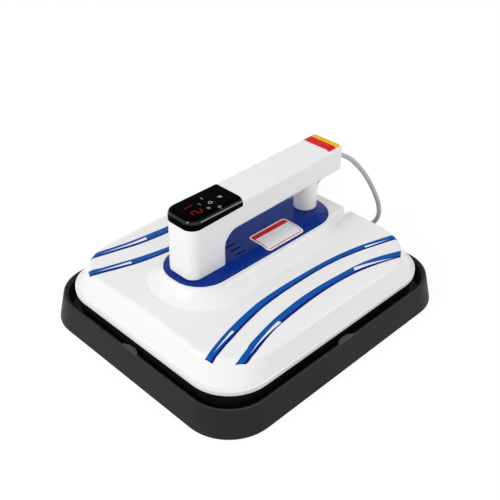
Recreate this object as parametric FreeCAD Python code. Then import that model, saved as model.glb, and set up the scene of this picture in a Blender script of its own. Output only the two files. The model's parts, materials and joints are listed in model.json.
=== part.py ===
import FreeCAD, Part
import math
import os

# Hand-held heat press on its insulated rest tray, in millimetres.
# Z is up, Y runs from the control end of the handle (-) to the cord end (+), and the origin is the
# middle of the tray on the table.

os.makedirs("parts", exist_ok=True)

# ---- fits ----
slide_fit = 0.15  # round a screw shank, a tube in its groove or a board edge
seat_gap = 0.3  # between two bodies that rest on each other
cover_gap = 0.2  # round a cover that drops into a recess

# ---- rest tray ----
tray_margin_x = 16.1  # from the white housing's lower edge to the tray's foot
tray_margin_y = 16.4
tray_corner_growth = 3.2
tray_lean = 6.0  # how far the outer wall leans in from foot to rim
tray_rim_corner = 51.3
tray_rise = 31.5
rim_width = 5.0
rim_land = 1.6  # level ridge at the rim's outer edge
rim_drop = 2.0  # how far the rim's top falls from the ridge to the well
well_lean = 1.9
tray_wall = 3.0
tray_floor = 3.0
rib_depth = 4.5
rib_thickness = 2.5
rib_pitch_x = 60.0
rib_pitch_y = 74.0
rim_fillet = 1.0
tab_half_length = 12.5
tab_reach = 6.2
tab_depth = 3.0
tab_root = 0.3
foot_radius = 9.0
foot_proud = 0.5
foot_pocket = 2.5
foot_inset = 41.0
foot_boss_wall = 3.0
mat_thickness = 6.0
mat_margin = 6.0
mat_edge = 1.0

# ---- heating plate and what lies on it ----
plate_half_x = 127.0
plate_half_y = 152.5
plate_corner = 38.0
plate_thickness = 10.0
plate_fillet = 1.5
element_radius = 3.3
element_bend = 30.0
element_front = -88.0
element_middle = 58.0
element_rear = 106.0
terminal_bend = 12.0
terminal_top = 22.0
blanket_thickness = 8.0
shield_sheet = 0.8
shield_flange = 5.0
stud_flats = 7.0
stud_length = 20.7
stud_pin_radius = 2.0
stud_pin_down = 6.0
stud_pin_up = 8.0
stud_x = 60.0
stud_rows = (-95.0, 0.0, 95.0)
cutout_radius = 8.0
cutout_height = 7.0
cutout_y = -30.0
cutout_ear = 12.0
cutout_ear_thickness = 1.2
cutout_blade = (6.0, 0.8, 6.0)
cutout_blade_x = 4.5
probe_y = 30.0
probe_length = 16.0
probe_width = 8.0
probe_sheet = 1.4
probe_bead = 2.2
through_gap = 1.5  # round what passes the blanket and the shield

# ---- black lower frame ----
frame_border_x = 10.0  # from the heating plate's edge to the frame's
frame_border_y = 8.5
frame_corner_growth = 9.0
frame_flare = 2.0
frame_setback = 2.7
frame_rise = 13.1  # from the plate's upper face to the white housing
frame_lip = 3.7
frame_lip_width = 7.0
plate_clearance = 0.9

# ---- white upper housing ----
housing_overhang_x = 3.4  # beyond the black frame
housing_overhang_y = 3.1
housing_corner_growth = 3.8
housing_wall = 2.8
lip_height = 5.0
lip_step = 1.2
crest_corner = 61.0
lean_x = 12.0
lean_y = 13.9
wall_rise = 38.6
crown_rise = 36.6
crown_side_drop = 8.0
crown_end_drop = 3.0
crest_fillet = 6.0
notch_half_x = 27.0
notch_rise = 18.0
notch_corner = 4.0
screw_rows = (-80.0, 0.0, 80.0)
screw_end_x = 60.0
screw_land = 0.3  # between a screw head's pocket and the plate's pocket
housing_bite = 9.0
boss_radius = 4.2
stud_boss_radius = 5.2
bore_spare = 1.0  # a bore's depth beyond its screw's tip

# ---- raised mound and the blue deck on it ----
deck_half_x = 39.0
deck_front = -108.0
deck_rear = 117.0
deck_front_radius = 35.0
deck_rear_radius = 38.0
deck_edge = 2.6
deck_crown = 3.3
deck_band = 14.0
deck_fillet = 1.2
mound_rise = 14.6  # above the middle of the crown
mound_rim = 2.2
mound_skirt = ((-6.0, 25.0), (-1.0, 17.0), (4.0, 9.5), (9.0, 4.6), (14.6, 2.2))
mound_rear_radius = 48.0
corner_flat = 1.0  # least straight length between a corner and the middle line
block_half_x = 35.0
block_rear = 130.0
block_corner = 5.0
block_edge = 3.0
block_length = 60.0
block_roof = 1.2
slit_count = 5
slit_pitch = 8.5
slit_width = 2.0
slit_front = -34.0
slit_rear = -19.0

# ---- handle ----
handle_half_x = 22.0
handle_front = -101.0
handle_rear = 133.0
handle_top_rise = 71.3  # above the deck
beam_rise = 3.2  # how far the beam's top climbs towards the cord end
beam_under_front = 36.7
beam_under_rear = 41.1
column_rear = -52.0
column_lean = 2.5  # how far the column's front leans back towards its top
arch_radius = 18.0
handle_wall = 2.6
column_corner = 12.5
beam_corner = 4.5
beam_edge = 6.5
under_edge = 3.5
cover_depth = 7.0
cover_tab_rows = (-6.0, 64.0)
tab_length = 4.0
tab_thickness = 1.6
tab_half = 6.0
cap_rear = -28.5
cap_depth = 12.0
cap_edge_rise = 2.5  # how far the cap's lower edge climbs towards its rear
cap_proud = 0.5
cap_wall = 1.9
post_radius = 13.5
post_bore = 6.0
post_y = 95.2
post_foot = 1.0

# ---- electronics ----
board_thickness = 1.6
panel_board_gap = 0.5
panel_board_margin = 6.5
panel_board_corner = 9.0
digit_size = (25.0, 15.0, 8.0)
digit_y = -78.0
touch_radius = 3.6
touch_wall = 0.8
touch_spots = ((-11.0, -56.0), (1.0, -55.0), (9.0, -64.5), (-5.0, -64.5), (0.0, -40.0))
buzzer_radius = 5.5
buzzer_height = 5.0
buzzer_y = -40.0
buzzer_port_radius = 1.0
buzzer_port_depth = 1.0
power_half_x = 32.0
power_front = -32.0
power_rear = 72.0
power_rise = 14.6  # from the white housing's lower edge to the board
power_inset = 5.0
power_boss = 3.5
relay_size = (19.0, 16.0, 15.0)
relay_spot = (-15.0, 18.0)
relay_edge = 0.8
sink_size = (24.0, 36.0, 3.0)
sink_spot = (14.0, 14.0)
sink_fins = 5
fin_height = 9.0
fin_thickness = 1.6
terminal_size = (30.0, 10.0, 10.0)
terminal_inset = 1.0
terminal_well_radius = 2.2
terminal_well_rise = 2.0
socket_size = (14.0, 8.0, 8.0)
socket_inset = 1.0
ribbon_width = 11.0
ribbon_thickness = 1.0
ribbon_y = -63.0
ribbon_drop = 3.0
ribbon_plug_rise = 8.0
heater_lead_radius = 1.4
heater_lead_bend = 8.0
heater_lead_x = 11.0

# ---- screws ----
screw_radius = 1.5
screw_head = 2.9
screw_head_depth = 2.0
screw_bite = 11.0
board_bite = 9.0
beam_bite = 10.0
clamp_bite = 8.0
column_screws = ((-12.5, -86.0), (12.5, -86.0), (-12.5, -61.5), (12.5, -61.5))
column_boss = 4.0
post_screw_x = 9.7
clamp_screw_x = 8.2

# ---- mains lead ----
cord_radius = 3.0
relief_root = 6.2
relief_tip = 3.9
relief_length = 21.0
relief_tilt = 25.0
relief_rise = 16.8  # below the top of the handle
relief_flange = 8.0
relief_flange_depth = 2.0
relief_neck = 5.4
lead_bend = 13.0
clamp_y = 118.0
clamp_length = 8.0
clamp_half_x = 12.0
clamp_cap = 5.5
clamp_edge = 1.2
exit_run = 21.5  # straight lead before the first bend
cord_route = (
    (7.0, 194.5, 101.0),
    (14.5, 208.5, 74.0),
    (23.5, 217.0, 43.0),
    (17.5, 219.0, 18.0),
    (-3.0, 215.5, 3.5),
    (-38.0, 210.0, 3.5),
)
coil_run = 32.0  # straight lead before the coil
bend_share = 0.45  # of the shorter run beside a corner
coil_x = -146.0
coil_y = 227.0
coil_outer = 42.0
coil_inner = 30.0
coil_height = 18.0
coil_lift = 1.0
coil_entry = -76.0
coil_stub = 34.0
coil_edge = 2.4
tie_angle = 160.0
tie_width = 9.0
tie_sheet = 0.9
plug_size = (24.0, 36.0, 20.0)
plug_bearing = 20.0  # where the plug lies on the coil, and which way its pins point
plug_turn = -160.0
plug_fillet = 4.0
blade_size = (1.5, 17.0, 6.4)
blade_pitch = 12.7
blade_rise = 1.5
earth_radius = 2.4
earth_length = 19.0
earth_drop = 5.0

# ---- outlines that follow from the heating plate's ----
frame_half_x = plate_half_x + frame_border_x
frame_half_y = plate_half_y + frame_border_y
frame_corner = plate_corner + frame_corner_growth
housing_half_x = frame_half_x + housing_overhang_x
housing_half_y = frame_half_y + housing_overhang_y
housing_corner = frame_corner + housing_corner_growth
tray_half_x = housing_half_x + tray_margin_x
tray_half_y = housing_half_y + tray_margin_y
tray_corner = housing_corner + tray_corner_growth
screw_line = plate_clearance + screw_head + slide_fit + screw_land
panel_board_half_x = handle_half_x - handle_wall - panel_board_gap

# ---- heights that follow from the sizes above ----
tray_bottom = foot_proud
tray_top = tray_bottom + tray_rise
well_floor = tray_bottom + rib_depth + tray_floor
mat_top = well_floor + mat_thickness
plate_bottom = mat_top + seat_gap
plate_top = plate_bottom + plate_thickness
frame_bottom = plate_bottom + frame_setback
lip_top = plate_top + frame_lip
housing_bottom = plate_top + frame_rise
blanket_top = lip_top + blanket_thickness
shield_top = blanket_top + shield_sheet
crown_top = housing_bottom + crown_rise
mound_top = crown_top + mound_rise
deck_seat = mound_top - deck_edge - cover_gap * 2
deck_edge_top = deck_seat + deck_edge
deck_top = deck_edge_top + deck_crown
seat_under = deck_seat - housing_wall
handle_top = deck_top + handle_top_rise
cap_bottom = handle_top - cap_depth
cover_bottom = handle_top - cover_depth
power_bottom = housing_bottom + power_rise
power_top = power_bottom + board_thickness
stud_top = plate_top + stud_length
lead_height = handle_top - relief_rise
terminal_y = power_rear - terminal_size[1] / 2 - terminal_inset
socket_y = power_front + socket_size[1] / 2 + socket_inset
terminal_mid = power_top + terminal_size[2] / 2
far = 500.0


def vec(x, y, z):
    return FreeCAD.Vector(x, y, z)


def box(x0, x1, y0, y1, z0, z1):
    return Part.makeBox(x1 - x0, y1 - y0, z1 - z0, vec(x0, y0, z0))


def pillar(x, y, radius, z0, z1):
    return Part.makeCylinder(radius, z1 - z0, vec(x, y, z0))


def outline(half_x, front, rear, front_radius, rear_radius, z):
    """A closed rounded rectangle, symmetric in X, with its own radius at each end."""
    k = math.sqrt(0.5)
    corners = (
        (1, rear, -1, rear_radius),
        (-1, rear, -1, rear_radius),
        (-1, front, 1, front_radius),
        (1, front, 1, front_radius),
    )
    arcs = []
    for side, y, inward, r in corners:
        cx, cy = side * (half_x - r), y + inward * r
        ends = [vec(side * half_x, cy, z), vec(cx, y, z)]
        if (side > 0) != (inward < 0):
            ends.reverse()
        arcs.append((ends[0], vec(cx + side * r * k, cy - inward * r * k, z), ends[1]))
    edges = []
    for n, (start, middle, end) in enumerate(arcs):
        edges.append(Part.Arc(start, middle, end).toShape())
        edges.append(Part.LineSegment(end, arcs[(n + 1) % 4][0]).toShape())
    return Part.Wire(edges)


def ring(half_x, half_y, radius, z):
    return outline(half_x, -half_y, half_y, radius, radius, z)


def slab(wire, height):
    return Part.Face(wire).extrude(vec(0, 0, height))


def loft(wires, ruled=True):
    return Part.makeLoft(wires, True, ruled)


def leaning_block(half_x, half_y, radius, z0, z1, in_x, in_y=None, top_radius=None):
    """A block with rounded corners whose walls lean in by in_x and in_y towards its top."""
    in_y = in_x if in_y is None else in_y
    top_radius = radius - in_x if top_radius is None else top_radius
    return loft([ring(half_x, half_y, radius, z0), ring(half_x - in_x, half_y - in_y, top_radius, z1)])


def fillet(shape, radius, chosen):
    edges = [e for e in shape.Edges if chosen(e.BoundBox)]
    return shape.makeFillet(radius, edges) if edges else shape


def level(z, slack=0.01):
    return lambda b: abs(b.ZMin - z) < slack and abs(b.ZMax - z) < slack


def tangent_path(points, radii):
    """Straight runs joined by tangent arcs of the given radii at the inner points."""
    edges, last = [], points[0]
    for before, corner, after, radius in zip(points, points[1:], points[2:], radii):
        to_start, to_end = (before - corner).normalize(), (after - corner).normalize()
        half_turn = (math.pi - to_start.getAngle(to_end)) / 2
        reach = radius * math.tan(half_turn)
        start, end = corner + to_start * reach, corner + to_end * reach
        bisector = (to_start + to_end).normalize()
        middle = corner + bisector * (radius / math.cos(half_turn) - radius)
        edges.append(Part.LineSegment(last, start).toShape())
        edges.append(Part.Arc(start, middle, end).toShape())
        last = end
    edges.append(Part.LineSegment(last, points[-1]).toShape())
    return Part.Wire(edges)


def tube(path, radius):
    start = path.Edges[0]
    along = start.tangentAt(start.FirstParameter)
    profile = Part.Wire(Part.Circle(start.valueAt(start.FirstParameter), along, radius).toShape())
    return path.makePipeShell([profile], True, True)


def screw(x, y, head_z, length, up=True):
    """A pan-head screw: its head lies against head_z, its shank goes up or down from there."""
    way = 1 if up else -1
    shank = Part.makeCylinder(screw_radius, length, vec(x, y, head_z), vec(0, 0, way))
    head = Part.makeCylinder(screw_head, screw_head_depth, vec(x, y, head_z), vec(0, 0, -way))
    rim = fillet(head, screw_head_depth / 3, level(head_z - way * screw_head_depth))
    return shank.fuse(rim)


def bore(x, y, z0, z1):
    return pillar(x, y, screw_radius + slide_fit, z0, z1)


# ---------------------------------------------------------------- rest tray


def well_half(z):
    """Half widths of the tray's well at a height."""
    lean = well_lean * (tray_top - z) / (tray_top - well_floor)
    rim = tray_lean + rim_width + lean
    return tray_half_x - rim, tray_half_y - rim, tray_rim_corner - rim_width - lean


def foot_spots():
    x, y = tray_half_x - foot_inset, tray_half_y - foot_inset
    return [(sx * x, sy * y) for sx in (1, -1) for sy in (1, -1)]


def tray_ribs(cavity_top):
    """Stiffening ribs under the tray's floor."""
    ribs = []
    reach_x, reach_y = well_half(well_floor)[:2]
    for n in (-1.5, -0.5, 0.5, 1.5):
        x, y, t = n * rib_pitch_x, n * rib_pitch_y, rib_thickness / 2
        ribs.append(box(x - t, x + t, -reach_y, reach_y, tray_bottom, cavity_top))
        ribs.append(box(-reach_x, reach_x, y - t, y + t, tray_bottom, cavity_top))
    inside = slab(ring(*well_half(well_floor), tray_bottom), cavity_top - tray_bottom)
    return [r.common(inside) for r in ribs]


def rim_slope():
    """The space over the rim's top, which falls inwards from the ridge."""
    run = (rim_width - rim_land) / rim_drop
    sections = []
    for z in (tray_top - 2 * rim_drop, tray_top + 2 * rim_drop):
        inset = tray_lean + rim_land - run * (z - tray_top)
        sections.append(ring(tray_half_x - inset, tray_half_y - inset, tray_rim_corner + tray_lean - inset, z))
    return loft(sections)


def tray_tabs():
    """Half-round lugs on the rim, one in the middle of each side, that guide the press into the well."""
    z = tray_top - tab_depth
    arc = Part.Ellipse(vec(0, 0, z), tab_half_length, tab_reach + tab_root).toShape(0, math.pi)
    chord = Part.makeLine(vec(-tab_half_length, 0, z), vec(tab_half_length, 0, z))
    body = Part.Face(Part.Wire([arc, chord])).extrude(vec(0, 0, tab_depth))
    out = tab_root - tray_lean - rim_land
    x, y = tray_half_x + out, tray_half_y + out
    places = ((0, -y), (x, 0), (0, y), (-x, 0))
    return [body.rotated(vec(0, 0, 0), vec(0, 0, 1), 90 * n).translated(vec(*place, 0))
            for n, place in enumerate(places)]


def make_base_tray():
    outer = leaning_block(tray_half_x, tray_half_y, tray_corner, tray_bottom, tray_top,
                          tray_lean, tray_lean, tray_rim_corner)
    outer = fillet(outer, rim_fillet, level(tray_top))
    top = well_half(tray_top + 1)
    low = well_half(well_floor)
    well = loft([ring(*low, well_floor), ring(*top, tray_top + 1)])
    cavity_top = tray_bottom + rib_depth
    slot_top = tray_top - 3 * tray_wall
    share = (slot_top - tray_bottom) / tray_rise
    w = tray_wall
    shell_in = leaning_block(tray_half_x - w, tray_half_y - w, tray_corner - w,
                             tray_bottom, slot_top, tray_lean * share)
    core_low = [v + w for v in well_half(well_floor)]
    core_top = [v + w for v in well_half(slot_top)]
    core = loft([ring(*core_low, cavity_top), ring(*core_top, slot_top)])
    cavity = shell_in.cut(core)
    bosses = [pillar(x, y, foot_radius + foot_boss_wall, tray_bottom, well_floor) for x, y in foot_spots()]
    pockets = [pillar(x, y, foot_radius, 0, tray_bottom + foot_pocket) for x, y in foot_spots()]
    tray = outer.cut([well, cavity, rim_slope()]).fuse(tray_ribs(cavity_top) + bosses + tray_tabs())
    return tray.cut(pockets).removeSplitter()


def make_base_feet():
    return [pillar(x, y, foot_radius, 0, tray_bottom + foot_pocket) for x, y in foot_spots()]


def make_tray_mat():
    half_x, half_y, corner = plate_half_x + mat_margin, plate_half_y + mat_margin, plate_corner + mat_margin
    mat = slab(ring(half_x, half_y, corner, well_floor), mat_thickness)
    return fillet(mat, mat_edge, level(mat_top))


# ---------------------------------------------------------------- heating plate


def stud_spots():
    return [(sx * stud_x, y) for sx in (1, -1) for y in stud_rows]


def element_path():
    """Four long runs joined by half turns, with both ends bent up as terminals."""
    x1, x3, z, r = element_bend, 3 * element_bend, plate_top, element_bend
    up = terminal_bend
    k = math.sqrt(0.5)
    edges = []

    def line(a, b):
        edges.append(Part.LineSegment(vec(*a), vec(*b)).toShape())

    def arc(a, m, b):
        edges.append(Part.Arc(vec(*a), vec(*m), vec(*b)).toShape())

    def lift(x):
        rise = (x, element_rear + up * k, z + up - up * k)
        return (x, element_rear, z), rise, (x, element_rear + up, z + up)

    low, bend, high = lift(-x3)
    line((high[0], high[1], plate_top + terminal_top), high)
    arc(high, bend, low)
    line(low, (-x3, element_front, z))
    arc((-x3, element_front, z), (-x3 + r, element_front - r, z), (-x1, element_front, z))
    line((-x1, element_front, z), (-x1, element_middle, z))
    arc((-x1, element_middle, z), (0, element_middle + r, z), (x1, element_middle, z))
    line((x1, element_middle, z), (x1, element_front, z))
    arc((x1, element_front, z), (x3 - r, element_front - r, z), (x3, element_front, z))
    line((x3, element_front, z), (x3, element_rear, z))
    low, bend, high = lift(x3)
    arc(low, bend, high)
    line(high, (high[0], high[1], plate_top + terminal_top))
    return Part.Wire(edges)


def terminal_spots():
    return [(side * 3 * element_bend, element_rear + terminal_bend) for side in (-1, 1)]


def make_heating_element():
    return tube(element_path(), element_radius)


def make_heating_plate():
    plate = slab(ring(plate_half_x, plate_half_y, plate_corner, plate_bottom), plate_thickness)
    plate = fillet(plate, plate_fillet, level(plate_bottom))
    groove = tube(element_path(), element_radius + slide_fit)
    holes = [pillar(x, y, stud_pin_radius + slide_fit, plate_top - stud_pin_down, plate_top)
             for x, y in stud_spots()]
    return plate.cut([groove] + holes)


def make_plate_studs():
    studs = []
    for x, y in stud_spots():
        radius = stud_flats / math.sqrt(3)
        corners = [vec(x + radius * math.cos(n * math.pi / 3), y + radius * math.sin(n * math.pi / 3), plate_top)
                   for n in range(7)]
        body = Part.Face(Part.makePolygon(corners)).extrude(vec(0, 0, stud_length))
        pin = pillar(x, y, stud_pin_radius, plate_top - stud_pin_down, stud_top + stud_pin_up)
        studs.append(body.fuse(pin))
    return studs


def blanket_holes(z0, z1):
    """Clearance holes for everything that stands on the heating plate."""
    gap = through_gap
    holes = [pillar(x, y, stud_flats / math.sqrt(3) + gap, z0, z1) for x, y in stud_spots()]
    holes += [pillar(x, y, element_radius + gap, z0, z1) for x, y in terminal_spots()]
    for x, y in terminal_spots():
        r = element_radius + gap
        holes.append(box(x - r, x + r, y - terminal_bend, y, z0, z1))
    holes.append(pillar(0, cutout_y, cutout_radius + gap, z0, z1))
    return holes


def make_insulation_blanket():
    half_x, half_y = plate_half_x - frame_lip_width / 2, plate_half_y - frame_lip_width / 2
    blanket = slab(ring(half_x, half_y, plate_corner, lip_top), blanket_thickness)
    return blanket.cut(blanket_holes(lip_top, blanket_top))


def make_heat_shield():
    """A pressed sheet-metal pan over the blanket, with a down-turned edge."""
    inner_x = plate_half_x - frame_lip_width / 2 + slide_fit
    inner_y = plate_half_y - frame_lip_width / 2 + slide_fit
    s, flange_z = shield_sheet, blanket_top - shield_flange
    pan = slab(ring(inner_x + s, inner_y + s, plate_corner + s, flange_z), shield_flange + s)
    pan = pan.cut(slab(ring(inner_x, inner_y, plate_corner, flange_z), shield_flange))
    return pan.cut(blanket_holes(flange_z, shield_top))


def make_thermal_cutout():
    ears = box(-cutout_ear, cutout_ear, cutout_y - probe_width / 2, cutout_y + probe_width / 2,
               plate_top, plate_top + cutout_ear_thickness)
    body = pillar(0, cutout_y, cutout_radius, plate_top, plate_top + cutout_height)
    blades = [standing_box(cutout_blade, (x, cutout_y), plate_top + cutout_height)
              for x in (-cutout_blade_x, cutout_blade_x)]
    return body.fuse([ears] + blades)


def make_temperature_probe():
    half = probe_width / 2
    lug = box(-half, half, probe_y, probe_y + probe_length, plate_top, plate_top + probe_sheet)
    bead = Part.makeCylinder(probe_bead, probe_length / 2, vec(0, probe_y, plate_top + probe_bead), vec(0, 1, 0))
    return lug.fuse(bead).common(box(-half, half, 0, far, plate_top, lip_top))


# ---------------------------------------------------------------- frame and housing


def housing_screws_at():
    x = plate_half_x + screw_line
    y = plate_half_y + screw_line
    spots = [(sx * x, row) for sx in (1, -1) for row in screw_rows]
    return spots + [(sx * screw_end_x, sy * y) for sx in (1, -1) for sy in (1, -1)]


def make_lower_frame():
    body = loft([
        ring(frame_half_x, frame_half_y, frame_corner, frame_bottom),
        ring(frame_half_x + frame_flare, frame_half_y + frame_flare, frame_corner + frame_flare, housing_bottom),
    ])
    c = plate_clearance
    pocket = slab(ring(plate_half_x + c, plate_half_y + c, plate_corner + c, frame_bottom), plate_top - frame_bottom)
    window = slab(ring(plate_half_x - frame_lip_width, plate_half_y - frame_lip_width,
                       plate_corner - frame_lip_width, plate_top), frame_lip)
    upper = slab(ring(plate_half_x + c, plate_half_y + c, plate_corner + c, lip_top), housing_bottom - lip_top)
    cuts = [pocket, window, upper]
    for x, y in housing_screws_at():
        cuts.append(bore(x, y, frame_bottom, housing_bottom))
        cuts.append(pillar(x, y, screw_head + slide_fit, frame_bottom, frame_bottom + screw_head_depth))
    return body.cut(cuts)


def make_housing_screws():
    z = frame_bottom + screw_head_depth
    return [screw(x, y, z, housing_bottom - z + housing_bite) for x, y in housing_screws_at()]


def crown(top, inset):
    """A solid under the housing's gently domed top."""
    half_x = housing_half_x - inset
    sections = []
    for y, drop in ((-housing_half_y, crown_end_drop), (0.0, 0.0), (housing_half_y, crown_end_drop)):
        side, middle = vec(half_x, y, top - drop - crown_side_drop), vec(0, y, top - drop)
        other = vec(-half_x, y, top - drop - crown_side_drop)
        low, low_other = vec(half_x, y, frame_bottom), vec(-half_x, y, frame_bottom)
        sections.append(Part.Wire([
            Part.Arc(side, middle, other).toShape(),
            Part.LineSegment(other, low_other).toShape(),
            Part.LineSegment(low_other, low).toShape(),
            Part.LineSegment(low, side).toShape(),
        ]))
    return loft(sections, ruled=False)


def housing_body(inset):
    """The housing's domed body; inset is the wall thickness for the inner surface."""
    half_x, half_y = housing_half_x - lip_step - inset, housing_half_y - lip_step - inset
    wall = leaning_block(half_x, half_y, housing_corner - inset, housing_bottom,
                         housing_bottom + wall_rise, lean_x, lean_y, crest_corner - inset)
    return wall.common(crown(crown_top - inset, 0))


def mound(inset, rise):
    """The flared mound under the deck, up to rise above the crown."""
    sections = []
    for z, margin in mound_skirt:
        m = margin - inset
        half_x = deck_half_x + m
        rear = deck_rear + mound_rim - inset
        rear_radius = min(mound_rear_radius, half_x - corner_flat)
        front_radius = min(deck_front_radius + m, half_x - corner_flat)
        height = crown_top + min(z, rise)
        sections.append(outline(half_x, deck_front - m, rear, front_radius, rear_radius, height))
    return loft(sections, ruled=False)


def mound_block(inset, bottom, top):
    """The squared rear end of the mound, over the housing's rear notch."""
    x, y0, y1 = block_half_x - inset, block_rear - block_length, block_rear - inset
    body = box(-x, x, y0, y1, bottom, top)
    body = fillet(body, block_corner - inset / 2, lambda b: b.ZLength > 1 and b.YMin > y1 - 1 and b.YLength < 1)
    return body if inset else fillet(body, block_edge, level(top))


def notch(grow):
    """The channel at the middle of the housing's rear edge."""
    x = notch_half_x + grow
    body = box(-x, x, block_rear - grow, housing_half_y + far, housing_bottom + notch_rise - grow, far)
    return fillet(body, notch_corner, lambda b: b.ZLength > far / 2 and b.YMax < block_rear + 1)


def deck_outline(grow, z):
    widest = deck_half_x - corner_flat
    return outline(deck_half_x + grow, deck_front - grow, deck_rear + grow,
                   min(deck_front_radius, widest) + grow, min(deck_rear_radius, widest) + grow, z)


def slit_window(z0, z1):
    """The opening below the deck's slits."""
    half = slit_pitch * (slit_count - 1) / 2 + slit_width
    return box(-half, half, slit_front, slit_rear, z0, z1)


def ribbon_window(z0, z1):
    half_x, half_y = ribbon_width / 2 + through_gap, ribbon_thickness / 2 + 2 * through_gap
    return box(-half_x, half_x, ribbon_y - half_y, ribbon_y + half_y, z0, z1)


def power_spots():
    x = power_half_x - power_inset
    return [(sx * x, y) for sx in (1, -1) for y in (power_front + power_inset, power_rear - power_inset)]


def housing_bosses(outside):
    """Screw and stud bosses that hang from the housing's inner face."""
    top = seat_under + housing_wall / 2
    bosses = [pillar(x, y, boss_radius, housing_bottom, top) for x, y in housing_screws_at()]
    bosses += [pillar(x, y, stud_boss_radius, stud_top, top) for x, y in stud_spots()]
    bosses += [pillar(x, y, power_boss, power_top, top) for x, y in power_spots()]
    bores = [bore(x, y, housing_bottom, housing_bottom + housing_bite + bore_spare)
             for x, y in housing_screws_at()]
    bores += [pillar(x, y, stud_pin_radius + slide_fit, stud_top, stud_top + stud_pin_up + bore_spare)
              for x, y in stud_spots()]
    bores += [bore(x, y, power_top, power_top + board_bite + bore_spare) for x, y in power_spots()]
    return [b.common(outside) for b in bosses], bores


def make_upper_housing():
    body = housing_body(0.0)
    crest = lambda b: b.ZMin > housing_bottom + lip_height * 3 and b.ZLength < crown_side_drop + 4
    body = fillet(body, crest_fillet, crest)
    lip = slab(ring(housing_half_x, housing_half_y, housing_corner, housing_bottom), lip_height)
    lip = fillet(lip, lip_step / 2, level(housing_bottom + lip_height))
    outside = body.fuse([lip, mound(0.0, mound_rise)]).cut(notch(0.0))
    outside = outside.fuse(mound_block(0.0, housing_bottom + notch_rise, mound_top))
    w = housing_wall
    inside = housing_body(w).fuse(mound(w, seat_under - crown_top)).cut(notch(w))
    inside = inside.fuse(mound_block(2 * w, crown_top - crown_end_drop - 2 * w, seat_under - block_roof))
    bosses, bores = housing_bosses(outside)
    deck_room = slab(deck_outline(cover_gap, deck_seat), far)
    cuts = [slit_window(seat_under, deck_seat), ribbon_window(seat_under, deck_seat),
            pillar(0, post_y, post_bore, seat_under, deck_seat)]
    cuts += [bore(x, y, seat_under, deck_seat) for x, y in deck_screws_at()]
    return outside.cut([inside, deck_room]).fuse(bosses).cut(bores + cuts).removeSplitter()


# ---------------------------------------------------------------- deck, handle and post


def deck_screws_at():
    return list(column_screws) + [(side * post_screw_x, post_y) for side in (-1, 1)]


def make_deck_cover():
    """The glossy deck: a flat middle, a sloped band round it and the cooling slits."""
    sections = [(0.0, deck_seat), (0.0, deck_edge_top), (-deck_band, deck_top)]
    deck = loft([deck_outline(grow, z) for grow, z in sections])
    deck = fillet(deck, deck_fillet, level(deck_edge_top))
    cuts = [ribbon_window(deck_seat, deck_top), pillar(0, post_y, post_bore, deck_seat, deck_top)]
    cuts += [bore(x, y, deck_seat, deck_top) for x, y in deck_screws_at()]
    for n in range(slit_count):
        x = (n - (slit_count - 1) / 2) * slit_pitch
        half = slit_width / 2
        cuts.append(box(x - half, x + half, slit_front, slit_rear, deck_seat, deck_top))
    return deck.cut(cuts).removeSplitter()


def top_at(y):
    """Height of the handle's top: level over the control end, then climbing towards the cord end."""
    return handle_top + beam_rise * max(0.0, (y - cap_rear) / (handle_rear - cap_rear))


def handle_profile(inset):
    """The handle's side outline: column, arch and beam."""
    front, rear, back = handle_front + inset, handle_rear - inset, column_rear - inset
    under_front, under_rear = deck_top + beam_under_front + inset, deck_top + beam_under_rear + inset
    r = arch_radius + inset
    k = math.sqrt(0.5)
    foot = deck_top + inset
    slope = (under_rear - under_front) / (rear - back)
    arch_end = vec(0, back + r, under_front + slope * r)
    arch_start = vec(0, back, arch_end.z - r)
    middle = vec(0, back + r * (1 - k), arch_end.z - r * (1 - k))
    corners = [vec(0, back, foot), vec(0, front, foot), vec(0, front + column_lean, handle_top - inset),
               vec(0, cap_rear, handle_top - inset), vec(0, rear, handle_top + beam_rise - inset),
               vec(0, rear, under_rear), arch_end]
    edges = [Part.LineSegment(a, b).toShape() for a, b in zip(corners, corners[1:])]
    edges.append(Part.Arc(arch_end, middle, arch_start).toShape())
    edges.append(Part.LineSegment(arch_start, corners[0]).toShape())
    return Part.Wire(edges)


def handle_solid(inset):
    """The whole handle as one solid; inset gives its inner surface."""
    half = handle_half_x - inset
    body = Part.Face(handle_profile(inset)).extrude(vec(2 * half, 0, 0))
    body.translate(vec(-half, 0, 0))
    front, rear, back = handle_front + inset, handle_rear - inset, column_rear - inset
    near = 0.01
    upright = lambda b: b.XLength < near and b.ZLength > arch_radius
    body = fillet(body, column_corner - inset, lambda b: upright(b) and b.YMax < front + column_lean + near)
    body = fillet(body, beam_corner - inset, lambda b: upright(b) and b.YLength < near
                  and (b.YMin > rear - near or abs(b.YMin - back) < near))
    ridge = lambda b: abs(b.YMin - cap_rear) < near and b.YLength < near
    body = fillet(body, beam_edge - inset, lambda b: b.ZMin > handle_top - inset - near and not ridge(b))
    under_low = deck_top + beam_under_front + inset
    lower = lambda b: (b.ZMin > under_low - near and b.YMin > back + arch_radius - near
                       and b.ZMax < deck_top + beam_under_rear + inset + near)
    return fillet(body, under_edge, lower) if inset == 0 else body


def beam_floor(y):
    """Height of the beam's inner floor."""
    share = (y - column_rear) / (handle_rear - column_rear)
    return deck_top + beam_under_front + handle_wall + share * (beam_under_rear - beam_under_front)


def relief_way():
    tilt = math.radians(relief_tilt)
    return vec(0, math.cos(tilt), -math.sin(tilt))


def clamp_bed():
    """The ledge inside the beam that the mains lead lies on."""
    y0, y1 = clamp_y - clamp_length / 2, clamp_y + clamp_length / 2
    return box(-clamp_half_x, clamp_half_x, y0, y1, beam_floor(clamp_y) - 1, lead_height)


def lead_gap():
    start = vec(0, clamp_y - clamp_length, lead_height)
    return Part.makeCylinder(cord_radius + slide_fit, far, start, vec(0, 1, 0))


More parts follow.
